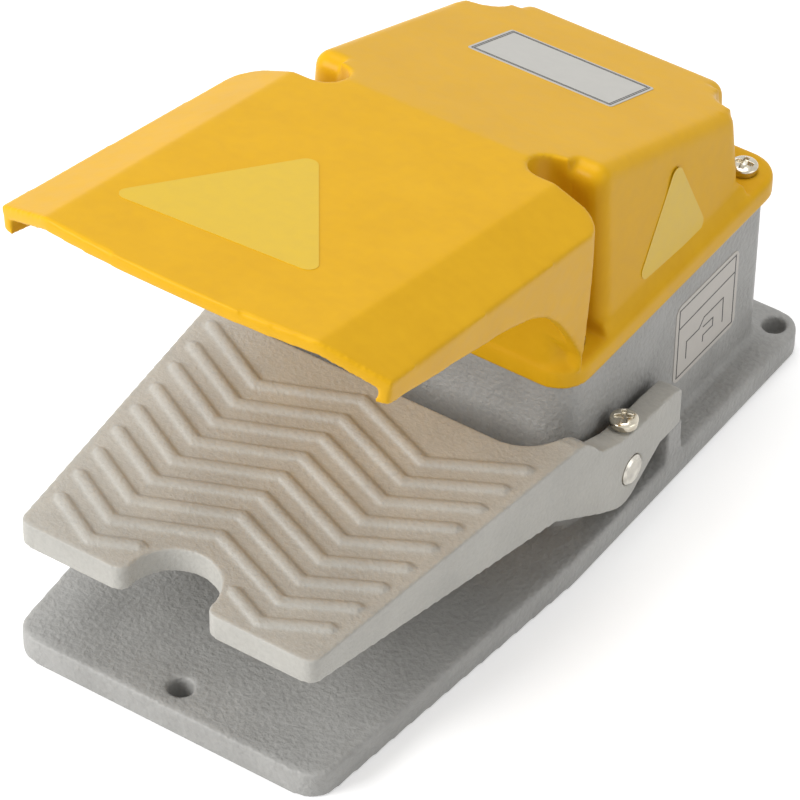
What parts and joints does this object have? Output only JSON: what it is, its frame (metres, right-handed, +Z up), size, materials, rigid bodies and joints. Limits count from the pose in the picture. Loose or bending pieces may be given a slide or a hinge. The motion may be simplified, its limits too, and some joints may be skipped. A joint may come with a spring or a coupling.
{
  "type": "industrial foot switch",
  "caption": "Foot switch with cast base and housing, cast cover with a guard hood, and a fork pedal that works a roller-lever snap switch inside.",
  "frame": {"origin": "middle of the base plate's underside", "axes": "+X across, +Y from the toe end to the cable end, +Z up"},
  "size_m": [0.106, 0.214, 0.1294],
  "materials": {
    "casting_grey": "fine-textured grey coat",
    "casting_yellow": "fine-textured yellow coat",
    "pedal_grey": "fine-textured warm grey coat",
    "gasket_rubber": "matt black",
    "shaft_steel": "ground",
    "bush_bronze": "plain",
    "plated_steel": "yellow zinc plated",
    "lever_steel": "plain",
    "black_steel": "black oxide",
    "spring_steel": "drawn wire",
    "zinc_steel": "zinc plated",
    "switch_plastic": "moulded black",
    "plunger_plastic": "moulded red",
    "roller_plastic": "moulded natural",
    "terminal_brass": "plain",
    "gland_plastic": "moulded black"
  },
  "bodies": {
    "base": {"base_housing": "casting_grey", "shaft_bushes": "bush_bronze", "cover_gasket": "gasket_rubber", "cover": "casting_yellow", "cover_screws": "plated_steel", "earth_screw": "plated_steel", "return_spring": "spring_steel", "switch_bracket": "zinc_steel", "bracket_screws": "plated_steel", "switch_case": "switch_plastic", "switch_lid": "switch_plastic", "switch_screws": "plated_steel", "switch_nuts": "zinc_steel", "switch_terminals": "terminal_brass", "terminal_screws": "zinc_steel", "lever_hinge_pin": "zinc_steel", "gland_body": "gland_plastic", "gland_seal": "gasket_rubber", "gland_nut": "gland_plastic", "gland_locknut": "gland_plastic"},
    "pedal_group": {"pedal": "pedal_grey", "pivot_shaft": "shaft_steel", "shaft_lock_screws": "plated_steel", "actuating_lever": "lever_steel", "lever_set_screw": "black_steel"},
    "lever_arm": {"roller_lever": "zinc_steel", "roller_pin": "zinc_steel"},
    "roller": {"lever_roller": "roller_plastic"},
    "plunger": {"switch_plunger": "plunger_plastic"}
  },
  "joints": [
    {"name": "pedal_hinge", "type": "hinge", "parent": "base", "child": "pedal_group", "pos_m": [0, 0.0179, 0.019], "axis": [1, 0, 0], "range_deg": [0, 10], "stiffness_Nm_per_rad": 4, "springref_deg": -14.32, "deforming": ["return_spring"]},
    {"name": "switch_lever", "type": "hinge", "parent": "base", "child": "lever_arm", "pos_m": [0, 0.071, 0.031], "axis": [1, 0, 0], "range_deg": [-7.2, 0]},
    {"name": "roller_spin", "type": "hinge", "parent": "lever_arm", "child": "roller", "pos_m": [0, 0.04, 0.027], "axis": [1, 0, 0], "continuous": true},
    {"name": "plunger_slide", "type": "slide", "parent": "base", "child": "plunger", "axis": [0, 0, 1], "range_m": [0, 0.0013]}
  ],
  "couplings": [
    {"joint": "switch_lever", "follows": "pedal_hinge", "ratio": -0.713},
    {"joint": "plunger_slide", "follows": "pedal_hinge", "m_per_rad": 0.00713}
  ]
}
